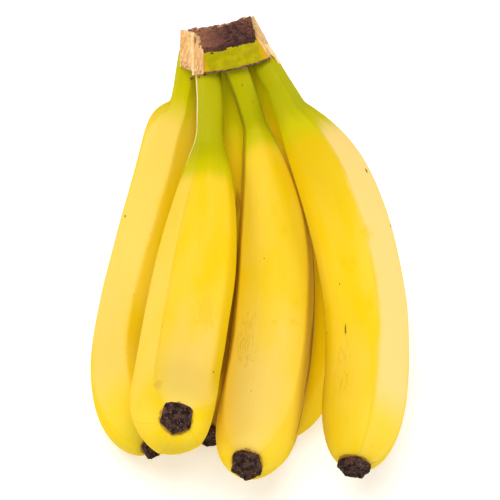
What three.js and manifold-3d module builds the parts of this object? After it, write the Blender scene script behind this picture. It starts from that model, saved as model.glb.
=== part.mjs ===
// A bunch of six bananas, lying on the backs of its three lower fingers with the hollow side up.
// Millimetres, +Z up. The crown is at +Y, and the dried blossom ends point to -Y and curl upwards.
import * as THREE from "three";
import { mergeVertices } from "three/addons/utils/BufferGeometryUtils.js";
import { ConvexGeometry } from "three/addons/geometries/ConvexGeometry.js";
import Module from "manifold-3d";

const wasm = await Module();
wasm.setup();

// ---- Driving dimensions ----

// One finger. Distances along a finger are measured from the crown down its centre line.
const shoulderPower = 2.2; // higher: the shoulder swells sooner
const endPowers = [2.5, 0.58]; // the roundness of the end: how late it starts, how steep it is
const tipRadius = 6.8;
const neckRoot = 7; // the neck is drawn this much past its start, then trimmed at the crown

// Where the rings of a finger stand: distances down the neck, the even steps of the body, and
// shares of the blunt end, closer together where it rounds over.
const neckStations = [6, 18, 26, 33, 40, 47, 54];
const bodyStart = 62;
const bodySteps = 8;
const endStations = [0.2, 0.38, 0.54, 0.68, 0.79, 0.88, 0.94, 0.98, 1];

// The cross-section: five faces between ridges, in degrees from the middle of the hollow face.
const faces = [
  { from: -50, to: 50, steps: 5 },
  { from: 50, to: 115, steps: 4 },
  { from: 115, to: 180, steps: 4 },
  { from: 180, to: 245, steps: 4 },
  { from: 245, to: 310, steps: 4 },
];
const faceSink = 0.12; // the middle of a face lies inside the circle of the ridges by this share
const meanSink = 0.5; // of that, this much is left all round where the ridges fade at the end

// The six fingers. path: four Bezier points of the centre line. neck: the radius of the neck.
// girth: the radius at the ridges. back and hollow: where the back and the hollow side of the bend
// leave the neck, and where they are full. turn: the degrees that the section is turned about the
// centre line. end: how long the blunt end is, from full girth to the blossom tip.
const fingers = {
  upper_left: {
    path: [[-17.6, 82, 92], [-10.7, 32, 58], [-37.7, -81, 60.6], [-28.4, -90, 115]],
    neck: 6,
    girth: 19.2,
    back: { from: 30, to: 104 },
    hollow: { from: 35, to: 118 },
    turn: -24,
    end: 36,
  },
  upper_middle: {
    path: [[-5.3, 81.5, 94], [26.9, 19.5, 37.1], [7.4, -63.9, 53.7], [0.4, -99.9, 85.4]],
    neck: 5.8,
    girth: 19.9,
    back: { from: 30, to: 101 },
    hollow: { from: 30, to: 121 },
    turn: -22,
    end: 42,
  },
  upper_right: {
    path: [[7.1, 84.3, 93], [43.6, 32.5, 74.5], [64.6, -11.3, 57.1], [45.8, -97, 74.8]],
    neck: 5.8,
    girth: 18.3,
    back: { from: 26, to: 74 },
    hollow: { from: 13, to: 111 },
    turn: -20,
    end: 32,
  },
  lower_left: {
    path: [[-25.4, 89.5, 83], [-49, 9.8, -28.5], [-67.8, -48.7, 32], [-41.1, -78.6, 44.2]],
    neck: 6.1,
    girth: 18.4,
    back: { from: 23, to: 43 },
    hollow: { from: 17, to: 105 },
    turn: -30,
    end: 45,
  },
  lower_middle: {
    path: [[-9.4, 92, 84], [-1.4, 57, 24], [-7.4, -8, 6], [-16.4, -68, 24]],
    neck: 5.8,
    girth: 18.1,
    back: { from: 28, to: 88 },
    hollow: { from: 35, to: 118 },
    turn: -20,
    end: 36,
  },
  lower_right: {
    path: [[1.1, 95, 85], [29.6, 47, 13], [44.6, 0, 3], [12.6, -69, 34]],
    neck: 5.8,
    girth: 18,
    back: { from: 26, to: 80 },
    hollow: { from: 35, to: 118 },
    turn: -20,
    end: 36,
  },
};

// The dried blossom tip on the end of each finger, as rings of height above the end, and radius.
// It is a short stub with a dimple in its face.
const tipRings = [[0, 6.2], [0.8, 6.9], [3.2, 6.8], [4, 5.8], [3, 2.6]];

// The crown, the thick stump that all the necks grow from, in its own frame: x across the bunch,
// y to the back of the bunch, z out of the cut face. Its foot and top give the left and right sides
// at their front and back, and the front and back edges at their ends and middle. Each level is
// lower at the front than at the back, so that the cut face slopes.
const crownPosition = [-7.4, 87.3, 90.5];
const crownTurn = [-43.5, -11, 5];
const crownArcSteps = 8;
const crownFoot = { left: [-13.4, -23], right: [17, 17.5], front: [-13.4, -17.6], back: [12.5, 14.5] };
const crownTop = { left: [-11.2, -16.2], right: [12.6, 13.2], front: [-11.6, -15.5], back: [12.3, 7.3] };
const crownLevels = [
  { z: [0, 0], inset: 1.2, ...crownFoot },
  { z: [1.2, 1.2], inset: 0, ...crownFoot },
  { z: [8.9, 11.4], inset: 0, ...crownTop },
  { z: [10, 12.7], inset: 0.8, ...crownTop },
];

// Strips of dried fibre left on the sides where the crown was torn off its stalk, as corner points.
const crownFlaps = {
  leftWide: [
    [-15.5, -7.5, -1], [-20.5, 6, -1.5], [-17.6, -8.5, -0.5], [-23.2, 4, -0.8],
    [-12, 6.5, 12], [-17, 11.5, 12.4], [-13.8, 5, 13.4], [-19.5, 11, 14],
  ],
  leftNarrow: [
    [-12.5, -12.5, -0.5], [-15.5, -7.5, -1], [-13.4, -14.6, -0.6], [-17.8, -9, -2],
    [-10.6, -11.5, 10.2], [-11.6, 4, 12.6], [-11.2, -12.8, 10.1], [-14, 5.5, 13],
  ],
  right: [
    [16, -13.2, -0.3], [16.5, 9, 0], [18, -12.4, -0.4], [18.6, 9, 0],
    [12.4, -11, 10.3], [12.6, 10.5, 12.9], [15.6, -10.5, 10], [15, 11, 13.2],
  ],
  rightPoint: [
    [15.5, -9, 5.2], [16, -6, 5.2], [18.6, -9, 4], [18.8, -6, 4],
    [20.9, -8.4, -5.6], [21, -7, -5.6], [21.9, -8.2, -6.2], [22, -7.2, -6.2],
  ],
};

const gap = 0.3; // kept between pieces that touch
const reach = 200; // larger than any piece, for the cutting blocks
const weld = 1e-4; // points closer than this are one point

const peelYellow = 0xf7cf2e;
const crownGreen = 0xa9a61c;
const tipBrown = 0x3d3130;

// ---- Solids ----

function solidOf(geometry) {
  const shape = geometry.clone();
  shape.deleteAttribute("normal");
  shape.deleteAttribute("uv");
  const merged = mergeVertices(shape, weld);
  return new wasm.Manifold(
    new wasm.Mesh({
      numProp: 3,
      vertProperties: merged.attributes.position.array,
      triVerts: new Uint32Array(merged.index.array),
    }),
  );
}

function geometryOf(solid) {
  const mesh = solid.getMesh();
  const geometry = new THREE.BufferGeometry();
  geometry.setAttribute("position", new THREE.BufferAttribute(mesh.vertProperties, 3));
  geometry.setIndex(new THREE.BufferAttribute(mesh.triVerts, 1));
  geometry.computeVertexNormals();
  return geometry;
}

// A closed skin over rings of the same number of points. Each ring runs anticlockwise seen from
// the last ring, and each end is a fan round the ring's middle.
function loft(rings) {
  const count = rings[0].length;
  const points = rings.flat();
  const triangles = [];
  for (let ring = 0; ring + 1 < rings.length; ring++) {
    for (let i = 0; i < count; i++) {
      const a = ring * count + i;
      const b = ring * count + ((i + 1) % count);
      triangles.push(a, b, b + count, a, b + count, a + count);
    }
  }
  const middle = (ring) =>
    ring.reduce((sum, p) => sum.add(p), new THREE.Vector3()).divideScalar(count);
  const first = points.push(middle(rings[0])) - 1;
  const last = points.push(middle(rings[rings.length - 1])) - 1;
  const top = (rings.length - 1) * count;
  for (let i = 0; i < count; i++) {
    const next = (i + 1) % count;
    triangles.push(first, next, i, last, top + i, top + next);
  }
  return new THREE.BufferGeometry().setFromPoints(points).setIndex(triangles);
}

// ---- Fingers ----

const ease = (x) => 1 - Math.pow(1 - THREE.MathUtils.clamp(x, 0, 1), shoulderPower);

// The section as a list of angles, each with its hollow: 0 on a ridge, 1 in the middle of a face.
const section = faces.flatMap(({ from, to, steps }) =>
  Array.from({ length: steps }, (_, i) => {
    const across = (2 * i) / steps - 1;
    const angle = THREE.MathUtils.degToRad(from + ((to - from) * i) / steps);
    return { angle, hollow: 1 - across * across };
  }),
);

// The frame of a finger at a distance along its centre line: its place, its direction, the way to
// the hollow side of the bend, and the way across.
function frameAt(finger, distance) {
  const curve = finger.curve;
  const share = THREE.MathUtils.clamp(distance / finger.length, 0, 1);
  const along = curve.getTangentAt(share);
  const place = curve.getPointAt(share).addScaledVector(along, distance - share * finger.length);
  const hollow = finger.bend.clone().addScaledVector(along, -finger.bend.dot(along)).normalize();
  return { place, along, hollow, across: along.clone().cross(hollow) };
}

// The radius of one side of a finger, from its neck to where that side is full.
function swell(distance, { neck, girth }, { from, to }) {
  return neck + (girth - neck) * ease((distance - from) / (to - from));
}

// The ring of points round the finger at a distance along it. The back of the finger leaves the
// neck sooner than the hollow side, so the ring's middle leans to the back there.
function fingerRing(finger, distance) {
  const { place, hollow, across } = frameAt(finger, distance);
  const back = swell(distance, finger, finger.back);
  const front = swell(distance, finger, finger.hollow);
  const x = Math.max(0, 1 - (finger.length - distance) / finger.end);
  const full = Math.pow(1 - Math.pow(x, endPowers[0]), endPowers[1]);
  const shrink = (tipRadius + (finger.girth - tipRadius) * full) / finger.girth;
  place.addScaledVector(hollow, (shrink * (front - back)) / 2);
  return ringAt(place, hollow, across, (shrink * (front + back)) / 2, finger.turn, 1 - x);
}

// The section's points round a place. ridges: 1 where the ridges stand out fully, 0 on a round end.
function ringAt(place, hollow, across, girth, turn, ridges) {
  return section.map((point) => {
    const angle = point.angle + THREE.MathUtils.degToRad(turn);
    const sink = faceSink * THREE.MathUtils.lerp(meanSink, point.hollow, ridges);
    const radius = girth * (1 - sink);
    return place
      .clone()
      .addScaledVector(hollow, radius * Math.cos(angle))
      .addScaledVector(across, radius * Math.sin(angle));
  });
}

// Where the rings stand along a finger.
function stations({ length, end }) {
  const full = length - end;
  const body = Array.from({ length: bodySteps + 1 }, (_, i) =>
    THREE.MathUtils.lerp(bodyStart, full, i / bodySteps),
  );
  return [-neckRoot, ...neckStations, ...body, ...endStations.map((x) => full + end * x)];
}

function prepare(finger) {
  const [a, b, c, d] = finger.path.map((p) => new THREE.Vector3(...p));
  const curve = new THREE.CubicBezierCurve3(a, b, c, d);
  const bend = a.clone().sub(b).sub(c).add(d).normalize();
  return { ...finger, curve, bend, length: curve.getLength() };
}

function fingerBody(finger) {
  return solidOf(loft(stations(finger).map((distance) => fingerRing(finger, distance))));
}

function blossomTip(finger) {
  const rings = tipRings.map(([height, radius]) => {
    const { place, hollow, across } = frameAt(finger, finger.length + gap + height);
    return ringAt(place, hollow, across, radius, finger.turn, 1);
  });
  return loft(rings);
}

// ---- Crown ----

// One level of the crown: bowed front and back edges joined by straight sides.
function crownRing({ z, inset, left, right, front, back }) {
  const edge = (from, to, height, [ends, middle]) =>
    Array.from({ length: crownArcSteps + 1 }, (_, i) => {
      const across = (2 * i) / crownArcSteps - 1;
      const y = middle + (ends - middle) * across * across;
      return new THREE.Vector3(THREE.MathUtils.lerp(from, to, i / crownArcSteps), y, height);
    });
  return [
    ...edge(left[0] + inset, right[0] - inset, z[0], front.map((y) => y + inset)),
    ...edge(right[1] - inset, left[1] + inset, z[1], back.map((y) => y - inset)),
  ];
}

function crownFrame(object) {
  object.position.set(...crownPosition);
  object.rotation.set(...crownTurn.map(THREE.MathUtils.degToRad));
  object.updateMatrixWorld(true);
  return object;
}

const flapSolid = (corners) =>
  solidOf(new ConvexGeometry(corners.map((corner) => new THREE.Vector3(...corner))));

const joined = (solids) => solids.reduce((whole, solid) => whole.add(solid));

function crownSolid() {
  const stump = solidOf(loft(crownLevels.map(crownRing)));
  return joined([stump, ...Object.values(crownFlaps).map(flapSolid)]);
}

// The corner points of a strip grown by the gap on all its sides.
function grown(corners) {
  const steps = [-gap, gap];
  return corners.flatMap(([x, y, z]) =>
    steps.flatMap((dx) => steps.flatMap((dy) => steps.map((dz) => [x + dx, y + dy, z + dz]))),
  );
}

// Everything that the necks must stay out of, in the bunch's frame: all that is above the crown's
// underside, and the strips that hang below it, both with the gap added.
function crownRoom() {
  const above = new THREE.BoxGeometry(reach, reach, reach).translate(0, 0, reach / 2 - gap);
  const strips = Object.values(crownFlaps).map((corners) => flapSolid(grown(corners)));
  const room = geometryOf(joined([solidOf(above), ...strips]));
  return solidOf(room.applyMatrix4(crownFrame(new THREE.Object3D()).matrixWorld));
}

// ---- The bunch ----

const peelMaterial = new THREE.MeshStandardMaterial({ color: peelYellow, roughness: 0.45, metalness: 0 });
const crownMaterial = new THREE.MeshStandardMaterial({ color: crownGreen, roughness: 0.7, metalness: 0 });
const tipMaterial = new THREE.MeshStandardMaterial({ color: tipBrown, roughness: 0.95, metalness: 0 });

const group = new THREE.Group();

function addMesh(name, geometry, material) {
  const mesh = new THREE.Mesh(geometry, material);
  mesh.name = name;
  group.add(mesh);
  return mesh;
}

crownFrame(addMesh("crown", geometryOf(crownSolid()), crownMaterial));

const room = crownRoom();
const table = solidOf(new THREE.BoxGeometry(2 * reach, 2 * reach, reach).translate(0, 0, -reach / 2));

for (const [place, dimensions] of Object.entries(fingers)) {
  const finger = prepare(dimensions);
  const body = fingerBody(finger).subtract(room).subtract(table);
  addMesh("banana_" + place, geometryOf(body), peelMaterial);
  addMesh("blossom_tip_" + place, blossomTip(finger), tipMaterial);
}

export default group;
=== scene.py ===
"""A bunch of six bananas on a pale floor, in soft studio light.

Metres, +Z up. The bunch lies on the backs of its three lower fingers. Its cut crown is at +Y, and the
dried blossom ends point to -Y and curl up.

Every finger is modelled upright on its own neck, with x to the hollow side of its bend and z down
the finger, and is then laid along its centre line. Its patterns are drawn on the upright shape.
"""

import math
from functools import lru_cache

import bmesh
import bpy
from mathutils import Matrix, Vector, noise
from mathutils.geometry import interpolate_bezier


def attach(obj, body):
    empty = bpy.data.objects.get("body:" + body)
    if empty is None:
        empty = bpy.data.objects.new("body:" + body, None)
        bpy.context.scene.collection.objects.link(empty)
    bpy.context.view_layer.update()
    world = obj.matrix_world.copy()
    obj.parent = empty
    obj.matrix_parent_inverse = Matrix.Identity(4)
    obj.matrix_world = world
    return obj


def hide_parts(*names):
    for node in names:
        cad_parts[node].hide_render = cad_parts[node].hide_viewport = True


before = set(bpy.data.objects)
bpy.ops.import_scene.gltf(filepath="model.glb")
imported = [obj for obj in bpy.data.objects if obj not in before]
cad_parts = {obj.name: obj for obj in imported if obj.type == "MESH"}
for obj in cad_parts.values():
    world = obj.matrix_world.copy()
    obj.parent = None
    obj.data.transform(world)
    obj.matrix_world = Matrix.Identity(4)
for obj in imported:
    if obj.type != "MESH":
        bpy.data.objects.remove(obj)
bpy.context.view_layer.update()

MM = 0.001

# ---- Driving dimensions ----

# One finger. Distances along a finger are measured from the crown down its centre line.
SHOULDER_POWER = 2.2  # how steeply the neck swells into the body at first
END_POWERS = (2.5, 0.58)  # how late the blunt end narrows, and how roundly it closes
TIP_RADIUS = 6.8 * MM  # the radius of the peel where the blossom tip grows from it
NECK_ROOT = 3 * MM  # the neck runs this far up into the crown

# The ridges between the five faces of the section, in degrees from the middle of the hollow face.
RIDGES = (-50, 50, 115, 180, 245, 310)
FACE_SINK = 0.12  # the middle of a face lies inside the circle of the ridges by this share
MEAN_SINK = 0.5  # of that, this much is left all round where the ridges fade at the end

SECTION_POINTS = 144  # a point every two and a half degrees, so that one falls on each ridge
BODY_RINGS = 104
END_RINGS = 26
END_CROWDING = 1.6  # the rings of the blunt end stand closer together where it rounds over
CURVE_POINTS = 600

SWELL = 0.35 * MM  # how far the peel swells and sinks along a finger
SWELL_SIZE = 26 * MM

# The six fingers, in millimetres and degrees. path: four Bezier points of the centre line. neck: the
# radius of the neck. girth: the radius at the ridges. back and hollow: where the back and the hollow
# side of the bend leave the neck, and where they are full. turn: how far the section is turned about
# the centre line. end: how long the blunt end is, from full girth to the blossom tip. green: how
# green the neck is, where the green starts to fade, where the peel is all yellow, and how green the
# blunt end is. pale: painted sheen, a paler yellow standing in for light: the middle of its face, how
# strong it is there, and how strong it is on the front towards the end. deep: painted shade, a deeper
# yellow standing in for shade: the middle of its side, how strong it is there, and how strong it is
# all round at the neck and at the end.
FINGERS = {
    "upper_left": dict(
        path=((-17.6, 82, 92), (-10.7, 32, 58), (-37.7, -81, 60.6), (-28.4, -90, 115)),
        neck=6, girth=19.2, back=(30, 104), hollow=(35, 118), turn=-24, end=36,
        green=(1, 38, 60, 0.15), pale=(82, 0.25, 0.6), deep=(-60, 0.9, 0, 0),
    ),
    "upper_middle": dict(
        path=((-5.3, 81.5, 94), (26.9, 19.5, 37.1), (7.4, -63.9, 53.7), (0.4, -99.9, 85.4)),
        neck=5.8, girth=19.9, back=(30, 101), hollow=(30, 121), turn=-22, end=42,
        green=(1, 26, 46, 0.12), pale=(0, 0, 0.6), deep=(0, 0, 0, 0),
    ),
    "upper_right": dict(
        path=((7.1, 84.3, 93), (43.6, 32.5, 74.5), (64.6, -11.3, 57.1), (45.8, -97, 74.8)),
        neck=5.8, girth=18.3, back=(26, 74), hollow=(13, 111), turn=-20, end=32,
        green=(1, 24, 50, 0.12), pale=(-82, 1, 0), deep=(60, 0.3, 1, 0),
    ),
    "lower_left": dict(
        path=((-25.4, 89.5, 83), (-49, 9.8, -28.5), (-67.8, -48.7, 32), (-41.1, -78.6, 44.2)),
        neck=6.1, girth=18.4, back=(23, 43), hollow=(17, 105), turn=-30, end=45,
        green=(0.7, 6, 42, 0.4), pale=(82, 0.5, 0), deep=(25, 0.2, 0, 0),
    ),
    "lower_middle": dict(
        path=((-9.4, 92, 84), (-1.4, 57, 24), (-7.4, -8, 6), (-16.4, -68, 24)),
        neck=5.8, girth=18.1, back=(28, 88), hollow=(35, 118), turn=-20, end=36,
        green=(0.8, 20, 60, 0.12), pale=(0, 0, 0), deep=(0, 0, 1, 1),
    ),
    "lower_right": dict(
        path=((1.1, 95, 85), (29.6, 47, 13), (44.6, 0, 3), (12.6, -69, 34)),
        neck=5.8, girth=18, back=(26, 80), hollow=(35, 118), turn=-20, end=36,
        green=(0.6, 10, 60, 0.12), pale=(0, 0, 0), deep=(0, 0, 1, 1),
    ),
}

# The crown, in its own frame: x across the bunch, y to the back of the bunch, z out of the cut face.
# Eight corners in millimetres: front and back of the left side, the same of the right side, at the
# foot and then at the cut face, which slopes.
CROWN_PLACE = Vector((-7.4, 87.3, 90.5)) * MM
CROWN_TURN = (-43.5, -11, 5)  # degrees about x, y and z
CROWN_CORNERS = (
    (-13.4, -13.4, 0), (-23, 12.5, 0), (17, -13.4, 0), (17.5, 12.5, 0),
    (-11.2, -11.6, 10), (-16.2, 12.3, 12.7), (12.6, -11.6, 10), (13.2, 12.3, 12.7),
)
# How far the middle of the front and of the back stands back, at the foot and then at the cut face.
CROWN_BOWS = ((-4.2 * MM, 2 * MM), (-3.9 * MM, -5 * MM))
CROWN_CUTS = 10  # cuts across each side of a slice of the crown, for it to bow along

# The slices of the crown: from which share of its height to which, how many millimetres wider all
# round, and how fine it is remeshed.
SKIN_SLICE = dict(low=0, high=0.95, grow=0, voxel=0.5 * MM)
CUT_SLICE = dict(low=0.86, high=1.05, grow=0.05, voxel=0.3 * MM)
LIP_SLICE = dict(low=-0.06, high=0.035, grow=0.15, voxel=0.4 * MM)

# Flakes along the far edge of the cut face, between two shares of its width.
CHIPS = 12
CHIP_SIZE = (3.4 * MM, 0.42 * MM, 1.7 * MM)
CHIP_RUN = (0.1, 0.92)
CHIP_INSET = 1.2 * MM  # how far in front of the edge they stand, before their own luck
CHIP_SPREAD = 1.6 * MM  # and how much luck moves them to the front or back
CHIP_RISE = 0.5 * MM
CHIP_LEAN = 0.9  # radians that a flake leans back, and may turn either way
CHIP_CUTS = 7

# The dried blossom tip: how many millimetres each step of its outline rises, and how much wider it
# gets.
TIP_POINTS = 30
TIP_STEPS = (
    (1.4, 1.04), (1.6, 1.04), (1.2, 1), (0.5, 0.93), (-0.3, 0.86), (-0.9, 0.86), (-0.7, 0.7), (0.4, 0.6),
    (0.7, 0.6),
)
TIP_FOOT = 6.7 * MM  # the radius of the tip where it grows from the peel
TIP_ROOT = 0.8 * MM  # how far the tip is sunk in the peel
TIP_SINK = 0.15  # the middle of a side lies inside its corners by this share
TIP_WOBBLE = 0.1  # and the sides swell and sink by this share
TIP_WRINKLE = 0.5 * MM
TIP_VOXEL = 0.32 * MM

# Strips of dried fibre on the sides where the crown was torn off its stalk, in the crown's own frame
# and in millimetres: inner front, inner back, outer front and outer back corners of one end, and then
# of the other.
FIBRE_STRIPS = {
    "left_wide": (
        (-15.5, -7.5, -1), (-20.5, 6, -1.5), (-17.6, -8.5, -0.5), (-23.2, 4, -0.8),
        (-12, 6.5, 12), (-17, 11.5, 12.4), (-13.8, 5, 13.4), (-19.5, 11, 14),
    ),
    "left_narrow": (
        (-12.5, -12.5, -0.5), (-15.5, -7.5, -1), (-13.4, -14.6, -0.6), (-17.8, -9, -2),
        (-10.6, -11.5, 10.2), (-11.6, 4, 12.6), (-11.2, -12.8, 10.1), (-14, 5.5, 13),
    ),
    "left_strand": (
        (-17.2, -9.7, -1.6), (-17.6, -8.5, -1.6), (-18.1, -10.1, -1.8), (-18.5, -8.9, -1.8),
        (-13.2, 4.3, 13), (-13.6, 5.5, 13.2), (-14.5, 4.1, 13.5), (-14.9, 5.4, 13.7),
    ),
    "right": (
        (16.6, -13.2, -0.3), (16.5, 9, 0), (17.8, -12.6, -0.4), (18.4, 9, 0),
        (12.6, -11, 10.2), (12.6, 10.5, 12.9), (14, -10.7, 10), (14.4, 11, 13.2),
    ),
    "right_point": (
        (15.5, -9, 5.2), (16, -6.6, 5.2), (17.9, -9, 4.4), (18.2, -6.6, 4.4),
        (20.5, -8.5, -5.4), (20.6, -7, -5.4), (21.9, -8.3, -6.1), (22, -7, -6.1),
    ),
}
PALE_STRIPS = ("left_strand", "right_point")
STRIP_CUTS = 14
STRIP_VOXEL = 0.3 * MM

# A torn fibre that lies down one neck; its pale lower length stands in for a painted highlight along the
# neck's edge. How thick it is, how much of that it loses towards its end, its way round the neck in
# degrees, how far it wanders off that in radians, and where it ends.
THREAD_AND_HIGHLIGHT = dict(radius=0.38 * MM, taper=0.7, angle=104, wander=0.15, end=46 * MM)
THREAD_POINTS = 8
THREAD_RINGS = 40


# ---- Working on a piece ----


def pick(piece):
    """Makes the piece the only one that is selected, and the active one."""
    bpy.ops.object.select_all(action="DESELECT")
    piece.select_set(True)
    bpy.context.view_layer.objects.active = piece


def new_piece(name):
    """Names the primitive that was just added."""
    piece = bpy.context.active_object
    piece.name = piece.data.name = name
    return piece


def copy_of(blank, name):
    """A copy of the blank with a mesh of its own."""
    piece = bpy.data.objects.new(name, blank.data.copy())
    piece.data.name = name
    bpy.context.scene.collection.objects.link(piece)
    return piece


def apply_modifier(piece, kind, **settings):
    """Gives the piece a modifier of this kind with these settings, and applies it."""
    modifier = piece.modifiers.new(kind.title(), kind)
    for setting, value in settings.items():
        setattr(modifier, setting, value)
    pick(piece)
    bpy.ops.object.modifier_apply(modifier=modifier.name)


def remesh(piece, voxel):
    """Covers the piece afresh with even faces of about this size."""
    apply_modifier(piece, "REMESH", mode="VOXEL", voxel_size=voxel)


def move_points(piece, place):
    """Moves every point of the piece from where it is to place(where it is)."""
    for vertex in piece.data.vertices:
        vertex.co = place(vertex.co.copy())
    piece.data.update()


def roughen(piece, height):
    """Moves every point out along its normal by height(where it is)."""
    moves = [vertex.normal * height(vertex.co) for vertex in piece.data.vertices]
    for vertex, move in zip(piece.data.vertices, moves):
        vertex.co += move
    piece.data.update()


def lumps(size, height, seed=Vector()):
    """A height that swells and sinks in lumps of this size, to roughen a piece by."""
    return lambda point: height * noise.noise(point / size + seed)


def keep_grain(piece):
    """Keeps where every point is now, in millimetres, as the coordinates of the piece's patterns."""
    grain = piece.data.attributes.new("grain", "FLOAT_VECTOR", "POINT")
    for vertex, value in zip(piece.data.vertices, grain.data):
        value.vector = vertex.co / MM


def face_outwards(piece):
    """Turns all faces the same way, and all of them round if the piece is then inside out."""
    pick(piece)
    bpy.ops.object.mode_set(mode="EDIT")
    bpy.ops.mesh.select_all(action="SELECT")
    bpy.ops.mesh.normals_make_consistent(inside=False)
    if bmesh.from_edit_mesh(piece.data).calc_volume(signed=True) < 0:
        bpy.ops.mesh.flip_normals()
    bpy.ops.object.mode_set(mode="OBJECT")


def finish_piece(piece, material, node):
    """Gives the piece its material and its part in the bunch."""
    face_outwards(piece)
    bpy.ops.object.shade_smooth()
    piece.data.materials.clear()
    piece.data.materials.append(material)
    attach(piece, "root")
    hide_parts(node)


# ---- The run of a finger ----


def blend(low, high, share):
    """The value that lies this share of the way from low to high."""
    return low + (high - low) * share


def share_of(value, low, high):
    """How far the value is from low to high, between 0 and 1."""
    return min(max((value - low) / (high - low), 0), 1)


def face_hollow(angle):
    """0 on a ridge of the section, and 1 in the middle of a face."""
    degrees = math.degrees(angle)
    degrees += 360 if degrees < RIDGES[0] - 0.01 else 0
    for low, high in zip(RIDGES, RIDGES[1:]):
        if degrees <= high:
            across = 2 * (degrees - low) / (high - low) - 1
            return 1 - across**2
    return 0


class Finger:
    """A finger's centre line, and how thick it is on its way down."""

    def __init__(self, path, neck, girth, back, hollow, turn, end, green, pale, deep):
        a, b, c, d = (Vector(point) * MM for point in path)
        self.neck, self.girth = neck * MM, girth * MM
        self.back = [distance * MM for distance in back]
        self.hollow = [distance * MM for distance in hollow]
        self.turn = math.radians(turn)
        # pale carries the painted sheen, and deep the painted shade.
        self.green, self.pale, self.deep = green, pale, deep
        self.bend = (a - b - c + d).normalized()
        self.points = interpolate_bezier(a, b, c, d, CURVE_POINTS)
        self.distances = [0]
        for before, after in zip(self.points, self.points[1:]):
            self.distances.append(self.distances[-1] + (after - before).length)
        self.length = self.distances[-1]
        self.full = self.length - end * MM

    @lru_cache(maxsize=None)
    def frame_at(self, distance):
        """The centre line's place, the way to the hollow side and the way across, at a distance."""
        low, high = 0, len(self.points) - 1
        while high - low > 1:
            middle = (low + high) // 2
            if self.distances[middle] <= distance:
                low = middle
            else:
                high = middle
        along = (self.points[high] - self.points[low]).normalized()
        hollow = (self.bend - along * self.bend.dot(along)).normalized()
        place = self.points[low] + along * (distance - self.distances[low])
        return place, hollow, along.cross(hollow)

    def lay_along(self, point):
        """The place in the bunch of a point of the upright finger."""
        place, hollow, across = self.frame_at(round(point.z, 6))
        return place + hollow * point.x + across * point.y

    def stretch(self, point):
        """The place on a plain tube of this finger's length and girth of a point of the blank."""
        if point.z <= 1:
            distance = blend(-NECK_ROOT, self.full, point.z)
        else:
            distance = blend(self.full, self.length, point.z - 1)
        return Vector((point.x * self.girth, point.y * self.girth, distance))

    def swell(self, distance, start, full):
        """The radius of one side, from the neck to where that side is full."""
        grown = 1 - (1 - share_of(distance, start, full)) ** SHOULDER_POWER
        return blend(self.neck, self.girth, grown)

    def skin(self, point):
        """The place on the peel of a point on the plain tube, both of the upright finger."""
        angle = math.atan2(point.y, point.x)
        back = self.swell(point.z, *self.back)
        front = self.swell(point.z, *self.hollow)
        near_end = share_of(point.z, self.full, self.length)
        full = (1 - near_end ** END_POWERS[0]) ** END_POWERS[1]
        shrink = blend(TIP_RADIUS, self.girth, full) / self.girth
        sink = FACE_SINK * blend(MEAN_SINK, face_hollow(angle), 1 - near_end)
        radius = shrink * (front + back) / 2 * (1 - sink)
        radius += SWELL * shrink * noise.noise(point / SWELL_SIZE + self.bend)
        return Vector(
            (
                shrink * (front - back) / 2 + radius * math.cos(angle + self.turn),
                radius * math.sin(angle + self.turn),
                point.z,
            )
        )


# ---- Fingers ----


def plain_tube(name, points, heights):
    """A closed tube of radius 1 with rings at these heights: a disc drawn out ring by ring."""
    bpy.ops.mesh.primitive_circle_add(vertices=points, radius=1, fill_type="NGON")
    tube = new_piece(name)
    bpy.ops.object.mode_set(mode="EDIT")
    for before, after in zip([0] + heights, heights):
        bpy.ops.mesh.extrude_region_move(TRANSFORM_OT_translate={"value": (0, 0, after - before)})
    bpy.ops.object.mode_set(mode="OBJECT")
    return tube


def finger_blank():
    """The tube that every finger starts as. Its neck and body stand from 0 to 1, and its blunt end
    from 1 to 2."""
    heights = [(ring + 1) / BODY_RINGS for ring in range(BODY_RINGS)]
    heights += [2 - (1 - (ring + 1) / END_RINGS) ** END_CROWDING for ring in range(END_RINGS)]
    return plain_tube("finger_blank", SECTION_POINTS, heights)


def keep_ridges(piece):
    """Keeps how near every point is to a ridge: 1 on it, and 0 in the middle of a face."""
    ridge = piece.data.attributes.new("ridge", "FLOAT", "POINT")
    for vertex, value in zip(piece.data.vertices, ridge.data):
        value.value = 1 - face_hollow(math.atan2(vertex.co.y, vertex.co.x))


def keep_rim(piece, finger):
    """Keeps how far every point near the end is from the foot of the blossom tip, in millimetres."""
    rim = piece.data.attributes.new("rim", "FLOAT", "POINT")
    for vertex, value in zip(piece.data.vertices, rim.data):
        out = max(math.hypot(vertex.co.x, vertex.co.y) - TIP_RADIUS, 0)
        value.value = math.hypot(out, finger.length - vertex.co.z) / MM


def peel(name, finger, blank):
    """A finger with its neck, shaped upright and then laid along its centre line. The backs of the
    lower fingers press flat on the floor."""
    piece = copy_of(blank, name)
    move_points(piece, finger.stretch)
    keep_grain(piece)
    keep_ridges(piece)
    move_points(piece, finger.skin)
    apply_modifier(piece, "SMOOTH", factor=0.5, iterations=1)
    keep_rim(piece, finger)
    move_points(piece, finger.lay_along)
    move_points(piece, lambda point: Vector((point.x, point.y, max(point.z, 0))))
    return piece


def tip_blank():
    """The dried stub of the blossom, upright: a short cup with a rolled rim and a nub in it."""
    bpy.ops.mesh.primitive_circle_add(vertices=TIP_POINTS, radius=TIP_FOOT, fill_type="NGON")
    blank = new_piece("tip_blank")
    bpy.ops.object.mode_set(mode="EDIT")
    for rise, grow in TIP_STEPS:
        bpy.ops.mesh.extrude_region_move(TRANSFORM_OT_translate={"value": (0, 0, rise * MM)})
        bpy.ops.transform.resize(value=(grow, grow, 1))
    bpy.ops.object.mode_set(mode="OBJECT")
    apply_modifier(blank, "SUBSURF", levels=2, render_levels=2)
    return blank


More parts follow.
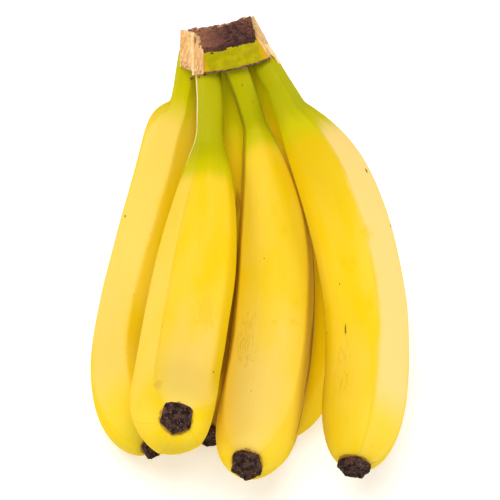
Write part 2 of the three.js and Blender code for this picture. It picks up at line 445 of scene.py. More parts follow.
def dried_tip(name, finger, blank):
    """A blossom tip with five worn sides, wrinkled from its rim to its nub, on a finger's end."""
    piece = copy_of(blank, name)
    seed = finger.bend * 100

    def wither(point):
        angle = math.atan2(point.y, point.x)
        out = math.hypot(point.x, point.y)
        around = Vector((math.cos(angle), math.sin(angle), 0)) * 1.3
        sides = 1 - TIP_SINK * face_hollow(angle)
        sides += TIP_WOBBLE * noise.noise(around + seed)
        folds = Vector((angle * 2.2, out / (4 * MM), point.z / (3 * MM)))
        wrinkle = TIP_WRINKLE * noise.noise(folds + seed)
        return Vector((point.x * sides, point.y * sides, point.z + wrinkle * min(out / (3 * MM), 1)))

    move_points(piece, wither)
    remesh(piece, TIP_VOXEL)
    roughen(piece, lumps(0.9 * MM, 0.35 * MM, seed))
    keep_grain(piece)
    turned = Matrix.Rotation(finger.turn, 3, "Z")
    base = Vector((0, 0, finger.length - TIP_ROOT))
    move_points(piece, lambda point: finger.lay_along(turned @ point + base))
    return piece


# ---- Crown ----


def crown_to_bunch():
    """The turn and shift that puts the crown's own frame in its place."""
    turn = Matrix.Identity(4)
    for degrees, axis in zip(CROWN_TURN, "XYZ"):
        turn = turn @ Matrix.Rotation(math.radians(degrees), 4, axis)
    return Matrix.Translation(CROWN_PLACE) @ turn


def between(corners, u, v, w):
    """The place at shares u, v and w of a box pulled to these eight corners, in metres."""
    ends = []
    for four in (corners[:4], corners[4:]):
        low = blend(Vector(four[0]), Vector(four[1]), v)
        high = blend(Vector(four[2]), Vector(four[3]), v)
        ends.append(blend(low, high, u))
    return blend(ends[0], ends[1], w) * MM


def bow_at(bows, u, v, w):
    """How far the front and back bow at shares u, v and w of a pulled box."""
    foot, top = (blend(*bow, v) for bow in bows)
    return Vector((0, blend(foot, top, w) * (1 - (2 * u - 1) ** 2), 0))


def cut_box(name, cuts):
    """A cube of size 1 round the origin, with this many cuts across each side."""
    bpy.ops.mesh.primitive_cube_add(size=1)
    piece = new_piece(name)
    bpy.ops.object.mode_set(mode="EDIT")
    bpy.ops.mesh.subdivide(number_cuts=cuts)
    bpy.ops.object.mode_set(mode="OBJECT")
    return piece


def pulled_box(name, corners, cuts, bows=((0, 0), (0, 0))):
    """A box with its eight corners pulled to these places, and its front and back bowed."""
    piece = cut_box(name, cuts)

    def pull(point):
        u, v, w = (share + 0.5 for share in point)
        return between(corners, u, v, w) + bow_at(bows, u, v, w)

    move_points(piece, pull)
    return piece


def crown_slice(name, low, high, grow, voxel):
    """A slice of the crown between two shares of its height, with its sides moved out."""
    corners = []
    for share in (low, high):
        for u, v in ((0, 0), (0, 1), (1, 0), (1, 1)):
            place = between(CROWN_CORNERS, u, v, share) / MM
            place += Vector((grow * (2 * u - 1), grow * (2 * v - 1), 0))
            corners.append(place)
    bows = [[blend(foot, top, share) for foot, top in zip(*CROWN_BOWS)] for share in (low, high)]
    piece = pulled_box(name, corners, CROWN_CUTS, bows)
    remesh(piece, voxel)
    return piece


def crown_skin():
    """The green outside of the crown."""
    piece = crown_slice("crown_skin", **SKIN_SLICE)
    apply_modifier(piece, "SMOOTH", factor=0.5, iterations=6)
    roughen(piece, lumps(6 * MM, 0.35 * MM))
    return piece


def crown_cut_face():
    """The dried cut across the crown: coarse and crumbly."""
    piece = crown_slice("crown_cut_face", **CUT_SLICE)
    crumbs = (lumps(3.2 * MM, 0.55 * MM), lumps(1.1 * MM, 0.3 * MM), lumps(0.55 * MM, 0.2 * MM))
    roughen(piece, lambda point: sum(height(point) for height in crumbs))
    return piece


def crown_lip():
    """The dark seam where the crown's skin ends over the necks: brown dried tissue, darkened as painted
    shade under the edge of the skin.
    """
    piece = crown_slice("crown_lip", **LIP_SLICE)
    roughen(piece, lumps(1.8 * MM, 0.2 * MM))
    return piece


def chip_blank():
    """One flake, upright and curled back from its middle."""
    chip = cut_box("chip_blank", CHIP_CUTS)
    length, thick, height = CHIP_SIZE

    def curl(point):
        return Vector((point.x * length, point.y * thick + point.z**2 * height, point.z * height))

    move_points(chip, curl)
    return chip


def chip_lie(number):
    """How a flake lies near the far edge of the cut face, turned and sized by its own luck."""
    luck = Vector([noise.noise(Vector((number * 1.7, lane, 0.5))) for lane in (0.5, 7.5, 14.5)])
    u = blend(*CHIP_RUN, (number + luck.x) / CHIPS)
    place = between(CROWN_CORNERS, u, 1, 1) + bow_at(CROWN_BOWS, u, 1, 1)
    place += Vector((0, luck.y * CHIP_SPREAD - CHIP_INSET, CHIP_RISE))
    turn = Matrix.Rotation(luck.z * CHIP_LEAN, 4, "Z") @ Matrix.Rotation(luck.y - CHIP_LEAN, 4, "X")
    return Matrix.Translation(place) @ turn @ Matrix.Scale(0.75 + 0.5 * luck.x, 4)


def crown_chips():
    """Small flakes that peel up from the cut face along its far edge."""
    chip = chip_blank()
    chips = [copy_of(chip, f"chip_{number}") for number in range(CHIPS)]
    bpy.data.objects.remove(chip)
    for number, piece in enumerate(chips):
        piece.data.transform(chip_lie(number))
        roughen(piece, lumps(0.9 * MM, 0.1 * MM))
        face_outwards(piece)
    pick(chips[0])
    for piece in chips:
        piece.select_set(True)
    bpy.ops.object.join()
    chips[0].name = chips[0].data.name = "crown_chips"
    return chips[0]


def thread_and_highlight(finger):
    """A thin torn fibre that hangs from the crown and lies down the side of one neck; its pale lower
    length is a painted highlight along the neck's edge.
    """
    heights = [(ring + 1) / THREAD_RINGS for ring in range(THREAD_RINGS)]
    piece = plain_tube("crown_thread_and_highlight", THREAD_POINTS, heights)

    def draw_out(point):
        radius = THREAD_AND_HIGHLIGHT["radius"] * (1 - THREAD_AND_HIGHLIGHT["taper"] * point.z**2)
        return Vector((point.x * radius, point.y * radius, point.z * THREAD_AND_HIGHLIGHT["end"]))

    def lay(point):
        wander = THREAD_AND_HIGHLIGHT["wander"] * noise.noise(Vector((0, 0, point.z / (9 * MM))))
        angle = math.radians(THREAD_AND_HIGHLIGHT["angle"]) + wander
        on_tube = Vector((math.cos(angle), math.sin(angle), 0)) * finger.girth
        on_tube.z = point.z
        return finger.lay_along(finger.skin(on_tube) + Vector((point.x, point.y, 0)))

    move_points(piece, draw_out)
    keep_grain(piece)
    move_points(piece, lay)
    return piece


def fibre_strip(name, corners):
    """A strip of torn fibre, ribbed along its length and frayed at its ends."""
    piece = pulled_box(name, corners, STRIP_CUTS)
    remesh(piece, STRIP_VOXEL)

    def rib(point):
        across = Vector((point.x, point.y, 0)) / MM
        along = Vector((0, 0, point.z / MM))
        broad = 0.28 * noise.noise(across / 1.8 + along / 16)
        return (broad + 0.1 * noise.noise(across / 0.7 + along / 10)) * MM

    roughen(piece, rib)
    return piece


# ---- Materials ----


class Finish:
    """A material whose nodes draw on the piece's own grain, which is counted in millimetres."""

    def __init__(self, name):
        self.material = bpy.data.materials.new(name)
        self.material.use_nodes = True
        self.tree = self.material.node_tree
        self.shader = self.tree.nodes["Principled BSDF"]
        self.grain = self.attribute("grain").outputs["Vector"]
        self.relief = None

    def node(self, kind, inputs=None, **settings):
        """A new node. An input is a number, a colour or what another node gives out."""
        node = self.tree.nodes.new("ShaderNode" + kind)
        for setting, value in settings.items():
            setattr(node, setting, value)
        for name, value in (inputs or {}).items():
            self.feed(node.inputs[name], value)
        return node

    def feed(self, socket, value):
        """Links what another node gives out to the socket, or sets it to a number or colour."""
        if isinstance(value, bpy.types.NodeSocket):
            self.tree.links.new(value, socket)
        elif socket.type == "RGBA":
            socket.default_value = (*value, 1)
        else:
            socket.default_value = value

    def attribute(self, name):
        """A value that is kept at every point of the piece."""
        return self.node("Attribute", attribute_name=name)

    def along(self, axis="Z"):
        """How far along one axis of the grain."""
        return self.node("SeparateXYZ", {"Vector": self.grain}).outputs[axis]

    def facing(self, degrees):
        """How far out each place is towards one side of the grain."""
        side = (math.cos(math.radians(degrees)), math.sin(math.radians(degrees)), 0)
        inputs = {0: self.grain, 1: side}
        return self.node("VectorMath", inputs, operation="DOT_PRODUCT").outputs["Value"]

    def placed(self, size, centre=(0, 0, 0)):
        """The grain round a centre, counted in steps of this size along x, y and z."""
        shift = [-middle / step for middle, step in zip(centre, size)]
        scale = [1 / step for step in size]
        mapping = self.node("Mapping", {"Vector": self.grain, "Location": shift, "Scale": scale})
        return mapping.outputs["Vector"]

    def clouds(self, size, seed=0, detail=2.5):
        """Smooth noise from 0 to 1 in clouds of this size."""
        centre = [seed * 37 * step for step in size]
        inputs = {"Vector": self.placed(size, centre), "Scale": 1, "Detail": detail}
        return self.node("TexNoise", inputs).outputs["Fac"]

    def cells(self, size, seed=0):
        """A cell pattern of this size: how far each place is from its cell's middle, and the
        cell's own luck from 0 to 1."""
        centre = [seed * 37 * step for step in size]
        cells = self.node("TexVoronoi", {"Vector": self.placed(size, centre), "Scale": 1})
        luck = self.node("SeparateColor", {"Color": cells.outputs["Color"]}).outputs["Red"]
        return cells.outputs["Distance"], luck

    def ease(self, value, low, high, start=0.0, end=1.0):
        """start where the value is low, end where it is high, and smooth in between."""
        inputs = {"Value": value, "From Min": low, "From Max": high, "To Min": start, "To Max": end}
        return self.node("MapRange", inputs, interpolation_type="SMOOTHSTEP").outputs["Result"]

    def count(self, operation, a, b):
        """A sum of two numbers: ADD, MULTIPLY, MAXIMUM and so on."""
        return self.node("Math", {0: a, 1: b}, operation=operation).outputs["Value"]

    def add(self, a, b):
        """Two numbers added."""
        return self.count("ADD", a, b)

    def both(self, a, b):
        """Two shares multiplied: only where there is some of each."""
        return self.count("MULTIPLY", a, b)

    def either(self, a, b):
        """The larger of two shares."""
        return self.count("MAXIMUM", a, b)

    def stray(self, value, clouds, reach):
        """The value, pushed up and down by up to this reach where the clouds vary."""
        return self.add(value, self.ease(clouds, 0.3, 0.7, -reach, reach))

    def flecks(self, size, seed, fill, rarity, strength):
        """Flecks in the middles of cells of this size. fill: how far from its middle a cell is bare
        and full. rarity: the luck below which a cell has no fleck, and above which it has all."""
        near, luck = self.cells(size, seed)
        return self.both(self.ease(near, *fill), self.ease(luck, *rarity, 0, strength))

    def paint(self, under, over, share):
        """One colour painted over another, by its share of each place."""
        mix = self.node("Mix", {6: under, 7: over, 0: share}, data_type="RGBA")
        return mix.outputs[2]

    def coats(self, colour, *coats):
        """A colour with coats painted over it in turn, each a colour and its share."""
        for coat, share in coats:
            colour = self.paint(colour, coat, share)
        return colour

    def oval(self, centre, size, ragged=0.5, soft=0.25):
        """1 inside an oval of this size round a place in the grain, with a ragged edge, and 0
        outside it."""
        placed = self.placed(size, centre)
        reach = self.node("VectorMath", {0: placed}, operation="LENGTH").outputs["Value"]
        edge = self.clouds([max(step / 2, 0.4) for step in size], seed=centre[2], detail=3)
        edge = self.ease(edge, 0.2, 0.8, -ragged, ragged)
        return self.ease(self.add(reach, edge), 1 + soft, 1 - soft)

    def raise_by(self, height, depth):
        """Adds relief: a height from 0 to 1, that many millimetres deep."""
        inputs = {"Height": height, "Distance": depth * MM, "Strength": 1}
        if self.relief:
            inputs["Normal"] = self.relief
        self.relief = self.node("Bump", inputs).outputs["Normal"]

    def done(self, colour, roughness, **settings):
        """Wires the colour, roughness and relief into the shader, and sets its other sockets."""
        self.feed(self.shader.inputs["Base Color"], colour)
        self.feed(self.shader.inputs["Roughness"], roughness)
        self.feed(self.shader.inputs["Normal"], self.relief)
        for name, value in settings.items():
            self.feed(self.shader.inputs[name.replace("_", " ")], value)
        return self.material


# Colours of the peel.
RICH_YELLOW = (0.8, 0.545, 0.004)
# Painted shade: a deeper yellow for the sides and the fingers that lie in shade.
SHADE_YELLOW = (0.66, 0.44, 0)
LIGHT_YELLOW = (0.83, 0.57, 0.04)
# Painted sheen: a paler yellow where faces catch the light.
SHEEN_YELLOW = (0.83, 0.595, 0.18)
RIDGE_YELLOW = (0.79, 0.47, 0.004)
UNRIPE = (0.54, 0.475, 0)
NECK_GREEN = (0.4, 0.38, 0)
OLD_BROWN = (0.13, 0.062, 0.018)
BRUISE_TAN = (0.5, 0.25, 0.03)
GOLDEN = (0.79, 0.49, 0)
# Painted shade: brown in the gaps between fingers that lie close together.
GAP_SHADE_BROWN = (0.3, 0.13, 0.01)
PALE_SCRATCH = (0.78, 0.6, 0.22)

# The colour of each kind of mark, and how strongly it is painted, in the order of painting.
MARK_COLOURS = {
    "golden": (GOLDEN, 0.4),
    "bruise": (BRUISE_TAN, 0.3),
    "scuff": (BRUISE_TAN, 0.45),
    # gap_shade is painted shade: brown in the gaps between the fingers.
    "gap_shade": (GAP_SHADE_BROWN, 0.85),
    "spot": (OLD_BROWN, 0.85),
}

# Marks on the fingers, in the grain of each: the kind of mark, the way round the finger in degrees,
# the distance down it, and half the mark's width and length in millimetres.
MARKS = {
    "upper_left": (
        ("golden", -8, 123, 5, 9), ("bruise", 46, 184, 2.2, 3.5), ("spot", -36, 154, 0.5, 0.6),
        ("bruise", 92, 6, 4, 2), ("spot", 84, 4.4, 2.4, 0.7), ("spot", 50, 3.4, 3, 0.5),
    ),
    "upper_middle": (
        ("scuff", 31, 142, 4.5, 15), ("golden", -4, 71, 2.2, 2.6), ("golden", -17, 81, 1.4, 2.6),
        ("golden", -34, 118, 1.6, 1.6), ("golden", -34, 128, 2.4, 1.6), ("golden", -6, 130, 1.5, 1.5),
        ("golden", 34, 130, 1.6, 1.8), ("spot", -20, 18, 0.5, 0.5), ("spot", 5, 9, 1, 0.7),
        # the two gap_shade marks are painted shade down the sides that face the neighbours
        ("gap_shade", -100, 116, 5, 48), ("gap_shade", 100, 112, 5, 50),
    ),
    "upper_right": (
        ("scuff", 3, 157, 4, 14), ("spot", 1, 137.5, 0.45, 2.6), ("golden", -9, 104, 2.6, 2.2),
        ("golden", -24, 105, 1.6, 2.6), ("golden", -16, 109, 1.5, 1.4), ("spot", 6, 114, 0.4, 0.4),
        ("golden", -51, 93, 3.5, 3.5), ("golden", -39, 128, 1.8, 2), ("golden", -14, 53, 1, 1),
        ("spot", -104, 65, 0.8, 0.9), ("spot", -113, 90, 0.5, 0.6),
    ),
    "lower_left": (
        ("spot", 107, 81, 0.5, 0.6), ("spot", 149, 23, 0.7, 0.8), ("bruise", 45, 6, 6, 2.5),
        ("spot", 52, 6.4, 2, 0.8),
    ),
    # painted shade on the top, seen through the gap between the fingers above
    "lower_middle": (("gap_shade", 0, 136, 9, 52),),
    "lower_right": (("golden", -60, 168, 4, 6), ("spot", -110, 120, 0.6, 0.9)),
}


def neck_green_share(finish, finger):
    """How green the peel is, from full at the neck to 0 where it is ripe. The green runs further
    down the ridges, and in streaks."""
    strength, fade, ripe, _ = finger.green
    streaks = finish.clouds((9, 9, 40), seed=3)
    wander = finish.ease(streaks, 0.25, 0.75, -1.5, 1.5)
    ridge = finish.both(finish.attribute("ridge").outputs["Fac"], -2)
    reach = finish.add(finish.add(finish.along(), wander), ridge)
    return finish.ease(reach, fade - 6, ripe, strength, 0)


def end_green_share(finish, finger, mottle):
    """How green the blunt end is, more so where the peel is mottled."""
    length, tinge = finger.length / MM, finger.green[3]
    end = finish.ease(finish.along(), length - 24, length - 4, 0, tinge)
    return finish.both(end, finish.ease(mottle, 0, 1, 0.4, 1))


def painted_sheen_share(finish, finger):
    """How much painted sheen, a paler yellow that stands in for light, lies on the peel: on one face all
    along, and on the front towards the end.
    """
    degrees, face, front = finger.pale
    clouds = finish.clouds((9, 9, 30), seed=8, detail=4)
    girth, length = finger.girth / MM, finger.length / MM
    edge = finish.stray(finish.facing(degrees), clouds, 0.5)
    side = finish.ease(edge, girth * 0.8, girth * 0.9, 0, face)
    side = finish.both(side, finish.ease(finish.along(), length - 34, length - 12, 1, 0.15))
    reach = finish.stray(finish.along(), clouds, 7)
    down = finish.ease(reach, length - 95, length - 30, 0, front)
    front_side = finish.ease(finish.facing(0), girth * 0.5, girth * 0.97)
    return finish.either(side, finish.both(down, front_side))


def painted_shade_shares(finish, finger):
    """How much painted shade, a deeper yellow that stands in for shade, lies on the peel: all round from
    the neck to the end, and along one side.
    """
    degrees, strength, neck, end = finger.deep
    girth, length = finger.girth / MM, finger.length / MM
    shade_all_round = finish.ease(finish.along(), length * 0.15, length * 0.6, neck, end)
    side = finish.ease(finish.facing(degrees), girth * 0.84, girth * 0.95, 0, strength)
    return shade_all_round, finish.both(side, finish.ease(finish.along(), length - 45, length - 15, 1, 0))


def unmarked_peel(finish, finger, ridge, mottle, fibres):
    """The colour of the peel before its marks: mottled yellow, with painted shade in a deeper yellow and
    painted sheen in a paler yellow by side, and green at the neck and, a little, at the blunt end."""
    shade_all_round, side = painted_shade_shares(finish, finger)
    green = neck_green_share(finish, finger)
    return finish.coats(
        RICH_YELLOW,
        (LIGHT_YELLOW, mottle),
        (RICH_YELLOW, finish.ease(fibres, 0.5, 0.72, 0, 0.3)),
        (RIDGE_YELLOW, finish.ease(ridge, 0.86, 1, 0, 0.5)),
        # painted shade: a deeper yellow all round
        (SHADE_YELLOW, shade_all_round),
        # painted sheen: a paler yellow on one face and on the front towards the end
        (SHEEN_YELLOW, painted_sheen_share(finish, finger)),
        # painted shade: a deeper yellow along the side that a neighbour shades
        (SHADE_YELLOW, side),
        (UNRIPE, finish.ease(green, 0.02, 0.5)),
        (NECK_GREEN, finish.ease(green, 0.45, 0.98)),
        (UNRIPE, end_green_share(finish, finger, mottle)),
    )


def mark_shares(finish, place, finger, seed):
    """How much of each kind of mark there is at each place of a finger, in the order of painting."""
    girth = finger.girth / MM
    shares = {}
    for kind in MARK_COLOURS:
        for degrees, distance, width, length in (mark[1:] for mark in MARKS[place] if mark[0] == kind):
            angle = math.radians(degrees)
            centre = (girth * math.cos(angle), girth * math.sin(angle), distance)
            share = finish.oval(centre, (width, width, length))
            if kind == "scuff":
                lines = finish.clouds((0.45, 0.45, 4), seed + distance, detail=5)
                share = finish.both(share, finish.ease(lines, 0.5, 0.66))
            shares[kind] = finish.either(shares[kind], share) if kind in shares else share
    return shares


def peel_finish(place, finger):
    """Ripe banana peel: yellow with faint fibres, green at the neck, brown where it is worn, and with
    painted light: shade in a deeper yellow and in brown between the fingers, and sheen in a paler
    yellow.
    """
    finish = Finish(f"peel {place.replace('_', ' ')}")
    seed = list(FINGERS).index(place) + 1
    ridge = finish.attribute("ridge").outputs["Fac"]
    mottle = finish.ease(finish.clouds((14, 14, 40), seed, detail=4), 0.3, 0.7)
    fibres = finish.clouds((1.1, 1.1, 22), seed + 1, detail=4)
    pores = finish.clouds((0.5, 0.5, 0.8), seed + 2)

    # Scratches, ridge wear, the dried margin round the blossom tip, and freckles.
    scratches = finish.ease(finish.clouds((0.5, 0.5, 5), seed + 5, detail=5), 0.74, 0.8, 0, 0.25)
    worn = finish.clouds((1.4, 1.4, 7), seed + 4, detail=4)
    wear = finish.both(finish.ease(ridge, 0.93, 0.99), finish.ease(worn, 0.63, 0.74, 0, 0.7))
    rim = finish.attribute("rim").outputs["Fac"]
    rim = finish.stray(rim, finish.clouds((6, 6, 6), seed + 6, detail=4), 0.3)
    tanned = finish.either(wear, finish.ease(rim, 0.5, 0))
    freckles = finish.flecks((6.5, 6.5, 9), seed, (0.07, 0.035), (0.84, 0.88), 0.75)
    colour = finish.coats(
        unmarked_peel(finish, finger, ridge, mottle, fibres),
        (PALE_SCRATCH, scratches),
        (BRUISE_TAN, tanned),
        (OLD_BROWN, freckles),
    )
    wear_and_gap_shade = finish.either(freckles, tanned)
    for kind, share in mark_shares(finish, place, finger, seed).items():
        mark_colour, strength = MARK_COLOURS[kind]
        share = finish.both(share, strength)
        colour = finish.paint(colour, mark_colour, share)
        # Every mark but golden, the painted gap shade too, is rougher and sunk.
        if kind != "golden":
            wear_and_gap_shade = finish.either(wear_and_gap_shade, share)

    # Rougher where it is worn and marked and on the painted gap shade, and matt at a glancing angle, so
    # that the sides don't shine.
    roughness = finish.ease(fibres, 0.3, 0.7, 0.42, 0.52)
    roughness = finish.add(roughness, finish.both(wear_and_gap_shade, 0.3))
    glancing = finish.node("LayerWeight", {"Blend": 0.5}).outputs["Facing"]
    roughness = finish.add(roughness, finish.ease(glancing, 0.35, 0.85, 0, 0.5))
    finish.raise_by(fibres, 0.09)
    finish.raise_by(pores, 0.05)
    finish.raise_by(wear_and_gap_shade, -0.06)
    return finish.done(colour, roughness, Specular_IOR_Level=0.06)


TIP_CHARCOAL = (0.014, 0.007, 0.006)
TIP_BROWN = (0.095, 0.045, 0.03)
TIP_BLOOM = (0.045, 0.026, 0.03)
TIP_CREASE = (0.008, 0.004, 0.004)
TIP_CREST = (0.2, 0.12, 0.08)
TIP_FLECK = (0.42, 0.29, 0.2)
TIP_FOOT_TAN = (0.24, 0.13, 0.03)


def tip_finish():
    """The dried blossom tip: charcoal and brown, wrinkled, with paler flecks and a tan foot."""
    finish = Finish("dried blossom tip")
    patches = finish.ease(finish.clouds((2.2, 2.2, 2.2), 1), 0.38, 0.62)
    bloom = finish.ease(finish.clouds((3, 3, 3), 3), 0.5, 0.65, 0, 0.7)
    wrinkles = finish.clouds((0.7, 0.7, 0.5), 2, detail=5)
    flecks = finish.flecks((0.9, 0.9, 0.9), 4, (0.34, 0.15), (0.75, 0.8), 0.7)
    colour = finish.coats(
        TIP_CHARCOAL,
        (TIP_BROWN, patches),
        (TIP_BLOOM, bloom),
        (TIP_CREST, finish.ease(wrinkles, 0.56, 0.76, 0, 0.7)),
        (TIP_CREASE, finish.ease(wrinkles, 0.46, 0.34, 0, 0.8)),
        (TIP_FLECK, flecks),
        (TIP_FOOT_TAN, finish.ease(finish.along(), 1.4, 0.4, 0, 0.7)),
    )
    finish.raise_by(wrinkles, 0.5)
    finish.raise_by(finish.clouds((0.25, 0.25, 0.25), 5), 0.2)
    return finish.done(colour, finish.ease(wrinkles, 0.3, 0.7, 0.9, 0.62), Specular_IOR_Level=0.14)


CROWN_GREEN = (0.33, 0.29, 0)
CROWN_LIME = (0.43, 0.355, 0.002)
CROWN_SHADE = (0.27, 0.245, 0)
TORN_ORANGE = (0.62, 0.34, 0.004)
SCAR_TAN = (0.45, 0.25, 0.04)
SPECK_BROWN = (0.09, 0.05, 0.01)


def crown_skin_finish():
    """The crown's green skin, which turns orange where it is torn at both ends."""
    finish = Finish("crown skin")
    strands = finish.clouds((0.9, 0.9, 7), 1, detail=4)
    mottle = finish.ease(finish.clouds((4, 4, 3), 2), 0.35, 0.65)
    across = finish.stray(finish.along("X"), strands, 1)
    left_end = finish.ease(across, -9.8, -12, 0, 0.85)
    right_end = finish.ease(across, 11.5, 15.5, 0, 0.85)
    scars = finish.flecks((2.6, 2.6, 2.6), 3, (0.2, 0.08), (0.62, 0.68), 0.6)
    speck = finish.oval((-7.6, -15.6, 8), (0.9, 3, 0.45), ragged=0.4)
    colour = finish.coats(
        CROWN_GREEN,
        (CROWN_LIME, mottle),
        (CROWN_SHADE, finish.ease(strands, 0.52, 0.72, 0, 0.6)),
        (TORN_ORANGE, finish.either(left_end, right_end)),
        (SCAR_TAN, scars),
        (SPECK_BROWN, speck),
    )
    finish.raise_by(strands, 0.14)
    finish.raise_by(finish.either(scars, speck), -0.12)
    return finish.done(colour, finish.ease(strands, 0.3, 0.7, 0.45, 0.6), Specular_IOR_Level=0.06)


CUT_UMBER = (0.045, 0.017, 0.016)
CUT_PURPLE = (0.16, 0.058, 0.042)
CUT_RED = (0.36, 0.14, 0.08)
CUT_RUST = (0.24, 0.095, 0.05)
CUT_GRAIN = (0.3, 0.15, 0.11)
CUT_TAN = (0.5, 0.24, 0.13)
CUT_PIT = (0.02, 0.009, 0.01)
CUT_EDGE = (0.03, 0.013, 0.014)

# The front edge of the cut face, in the crown's own frame and in millimetres: where its middle is,
# and how far it falls back with the square of the way across.
CUT_FRONT = (-15.5, 0.0275)


def cut_face_finish():
    """The dried cut: crumbly purple-brown, redder at the left, with pale grains along the far edge
    and a dark front edge."""
    finish = Finish("dried cut face")
    clumps = finish.ease(finish.clouds((2.6, 2.6, 2.6), 1, detail=4), 0.35, 0.65)
    crumbs = finish.clouds((0.7, 0.7, 0.7), 2, detail=5)
    across = finish.stray(finish.along("X"), crumbs, 4)
    near, luck = finish.cells((0.75, 0.75, 0.75), 3)
    grains = finish.both(finish.ease(near, 0.42, 0.2), finish.ease(luck, 0.7, 0.75, 0, 0.75))
    behind = finish.ease(finish.along("Y"), 1, 8)
    pale = finish.both(behind, finish.ease(crumbs, 0.5, 0.62, 0, 0.7))
    middle, fall = CUT_FRONT
    bow = finish.both(finish.both(finish.along("X"), finish.along("X")), -fall)
    from_front = finish.add(finish.add(finish.along("Y"), bow), -middle)
    from_front = finish.stray(from_front, crumbs, 0.5)
    colour = finish.coats(
        CUT_UMBER,
        (CUT_PURPLE, clumps),
        (CUT_RED, finish.ease(across, 2, -11, 0, 0.9)),
        (CUT_RUST, finish.ease(across, 9, 14, 0, 0.6)),
        (CUT_GRAIN, grains),
        (CUT_TAN, pale),
        (CUT_PIT, finish.ease(crumbs, 0.44, 0.34, 0, 0.85)),
        (CUT_EDGE, finish.ease(from_front, 1.3, 0.2, 0, 0.7)),
    )
    finish.raise_by(crumbs, 0.7)
    finish.raise_by(near, 0.2)
    return finish.done(colour, finish.ease(crumbs, 0.3, 0.7, 0.95, 0.75), Specular_IOR_Level=0.15)


FLAKE_BROWN = (0.22, 0.09, 0.05)
FLAKE_TAN = (0.66, 0.38, 0.22)
FLAKE_CREASE = (0.13, 0.055, 0.035)


def flake_finish():
    """Flakes of the far edge of the cut, some dried brown and some torn pale."""
    finish = Finish("dried flakes")
    patches = finish.ease(finish.clouds((2.4, 2.4, 2.4), 1), 0.42, 0.6)
    strands = finish.clouds((0.5, 0.5, 1.5), 2, detail=4)
    colour = finish.coats(
        FLAKE_BROWN,
        (FLAKE_TAN, patches),
        (FLAKE_CREASE, finish.ease(strands, 0.48, 0.36, 0, 0.8)),
    )
    finish.raise_by(strands, 0.2)
    return finish.done(colour, finish.ease(strands, 0.3, 0.7, 0.9, 0.7), Specular_IOR_Level=0.2)


# Cork and painted shade: the near black stands in for the shade under the edge of the crown's skin.
CORK_AND_SHADE_DARK = (0.06, 0.024, 0.012)
CORK_BROWN = (0.2, 0.095, 0.04)


def seam_and_shade_finish():
    """The dark seam of cork at the foot of the crown, made darker than the cork alone as painted shade
    under the edge of the skin.
    """
    finish = Finish("dark seam with painted shade")
    cork = finish.clouds((1.2, 1.2, 0.8), 1, detail=5)
    colour = finish.paint(CORK_AND_SHADE_DARK, CORK_BROWN, finish.ease(cork, 0.35, 0.65))
    finish.raise_by(cork, 0.4)
    return finish.done(colour, finish.ease(cork, 0.3, 0.7, 0.9, 0.7))


FIBRE_TAN = (0.8, 0.5, 0.2)
FIBRE_BROWN = (0.66, 0.34, 0.11)
FIBRE_PALE = (0.86, 0.62, 0.33)
FIBRE_GAP = (0.46, 0.22, 0.07)
FIBRE_LINE = (0.52, 0.27, 0.1)
FIBRE_FOOT = (0.36, 0.17, 0.08)
FIBRE_FLECK = (0.3, 0.12, 0.05)


def torn_fibre_finish():
    """Torn fibre, dried to tan, in strands along its length, browner between them and at the foot."""
    finish = Finish("torn fibre")
    strands = finish.clouds((0.8, 0.8, 16), 1, detail=4)
    threads = finish.clouds((0.28, 0.28, 9), 4, detail=3)
    patches = finish.ease(finish.clouds((3.5, 3.5, 6), 2, detail=4), 0.35, 0.65)
    low = finish.stray(finish.along(), strands, 2.5)
    flecks = finish.flecks((1.6, 1.6, 3), 3, (0.26, 0.1), (0.86, 0.9), 0.7)
    colour = finish.coats(
        FIBRE_TAN,
        (FIBRE_BROWN, patches),
        (FIBRE_PALE, finish.ease(strands, 0.53, 0.62, 0, 0.75)),
        (FIBRE_GAP, finish.ease(strands, 0.4, 0.3, 0, 0.7)),
        (FIBRE_LINE, finish.ease(threads, 0.4, 0.28, 0, 0.45)),
        (FIBRE_FOOT, finish.ease(low, 2.2, -1.8, 0, 0.8)),
        (FIBRE_FLECK, flecks),
    )
    finish.raise_by(strands, 0.45)
    finish.raise_by(threads, 0.18)
    return finish.done(colour, finish.ease(strands, 0.3, 0.7, 0.9, 0.68), Specular_IOR_Level=0.2)


STRAND_CREAM = (0.88, 0.7, 0.38)
STRAND_TAN = (0.8, 0.55, 0.24)
STRAND_DRY = (0.55, 0.29, 0.12)


def pale_strand_finish():
    """A clean torn strand: cream, with tan where it has dried."""
    finish = Finish("pale torn strand")
    strands = finish.clouds((0.5, 0.5, 9), 1, detail=4)
    dry = finish.ease(finish.clouds((1.5, 1.5, 5), 2), 0.6, 0.7, 0, 0.7)
    colour = finish.coats(
        STRAND_TAN,
        (STRAND_CREAM, finish.ease(strands, 0.35, 0.65)),
        (STRAND_DRY, dry),
    )
    finish.raise_by(strands, 0.2)
    return finish.done(colour, finish.ease(strands, 0.3, 0.7, 0.85, 0.65), Specular_IOR_Level=0.2)


BOARD_WHITE = (0.96, 0.962, 0.965)
BOARD_GREY = (0.93, 0.935, 0.94)
BOARD_GLOW = 0.25


def floor_finish():
    """A pale matt board, lit a little from within so that it stays nearly white."""
    finish = Finish("pale board")
    tooth = finish.clouds((1.5, 1.5, 1.5), 1)
    cast = finish.ease(finish.clouds((400, 400, 400), 2), 0.3, 0.7)
    colour = finish.paint(BOARD_GREY, BOARD_WHITE, cast)
    roughness = finish.ease(tooth, 0.3, 0.7, 0.85, 0.95)
    finish.raise_by(tooth, 0.05)
    return finish.done(colour, roughness, Emission_Color=(1, 1, 1), Emission_Strength=BOARD_GLOW)


# ---- The bunch ----

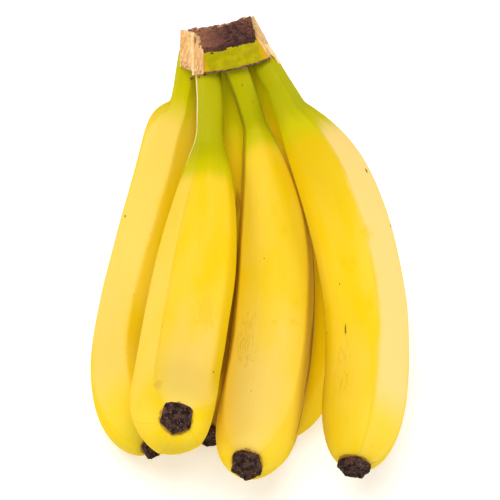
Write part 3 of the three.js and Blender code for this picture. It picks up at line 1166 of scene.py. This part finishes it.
fingers = {place: Finger(**dimensions) for place, dimensions in FINGERS.items()}
plain_finger, plain_tip, withered = finger_blank(), tip_blank(), tip_finish()
for place, finger in fingers.items():
    skin = peel(f"peel_{place}", finger, plain_finger)
    finish_piece(skin, peel_finish(place, finger), f"banana_{place}")
    tip = dried_tip(f"dried_tip_{place}", finger, plain_tip)
    finish_piece(tip, withered, f"blossom_tip_{place}")
for blank in (plain_finger, plain_tip):
    bpy.data.objects.remove(blank)

torn, pale_strand = torn_fibre_finish(), pale_strand_finish()
crown_pieces = [
    (crown_skin(), crown_skin_finish()),
    (crown_cut_face(), cut_face_finish()),
    (crown_lip(), seam_and_shade_finish()),
    (crown_chips(), flake_finish()),
]
for side, corners in FIBRE_STRIPS.items():
    strip = fibre_strip(f"crown_fibre_{side}", corners)
    crown_pieces.append((strip, pale_strand if side in PALE_STRIPS else torn))
for piece, material in crown_pieces:
    keep_grain(piece)
    piece.data.transform(crown_to_bunch())
    finish_piece(piece, material, "crown")
# The torn fibre, whose lower length is a painted highlight down the neck's edge.
finish_piece(thread_and_highlight(fingers["upper_left"]), pale_strand, "crown")

# ---- Floor, light and camera ----

FLOOR_SIZE = 6
ROOM_LIGHT = 0.1  # how bright the white room is all round

# The soft lights: where each stands, its width and height, its watts and its colour. All of them aim
# at one place.
SOFTBOXES = {
    "top softbox": ((-0.06, -0.08, 1.05), (0.4, 0.4), 8.2, (1, 0.98, 0.96)),
    "front softbox": ((0, -0.8, 0.3), (0.6, 0.3), 1.1, (1, 0.99, 0.97)),
    "left softbox": ((-0.8, 0, 0.35), (0.9, 0.4), 4, (1, 0.98, 0.96)),
    "right softbox": ((0.8, 0, 0.42), (0.9, 0.4), 4.6, (1, 0.99, 0.98)),
}
LIT_PLACE = (0, 0, 0.05)

CAMERA_PLACE = (0.0016, -0.3301, 0.8917)
CAMERA_TILT = 22  # degrees up from looking straight down
SENSOR_WIDTH = 36
LENS = 144


def pale_floor():
    """The board that the bunch lies on."""
    bpy.ops.mesh.primitive_plane_add(size=FLOOR_SIZE, location=(0, 0, 0))
    floor = new_piece("floor")
    keep_grain(floor)
    floor.data.materials.append(floor_finish())


def soft_light(name, place, size, watts, colour):
    """A large soft light that faces the bunch."""
    light = bpy.data.lights.new(name, "AREA")
    light.shape = "RECTANGLE"
    light.size, light.size_y = size
    light.energy = watts
    light.color = colour
    lamp = bpy.data.objects.new(name, light)
    lamp.location = place
    lamp.rotation_euler = (Vector(LIT_PLACE) - Vector(place)).to_track_quat("-Z", "Y").to_euler()
    bpy.context.scene.collection.objects.link(lamp)


def studio():
    """A dim white room with soft lights round the bunch."""
    world = bpy.data.worlds.new("white studio")
    world.use_nodes = True
    background = world.node_tree.nodes["Background"]
    background.inputs["Color"].default_value = (1, 1, 1, 1)
    background.inputs["Strength"].default_value = ROOM_LIGHT
    bpy.context.scene.world = world
    for name, settings in SOFTBOXES.items():
        soft_light(name, *settings)
    bpy.context.scene.view_settings.view_transform = "Standard"


def camera():
    """A long lens high in front of the bunch."""
    lens = bpy.data.cameras.new("camera")
    lens.sensor_width = SENSOR_WIDTH
    lens.lens = LENS
    eye = bpy.data.objects.new("camera", lens)
    eye.location = CAMERA_PLACE
    eye.rotation_euler = (math.radians(CAMERA_TILT), 0, 0)
    bpy.context.scene.collection.objects.link(eye)
    bpy.context.scene.camera = eye


pale_floor()
studio()
camera()
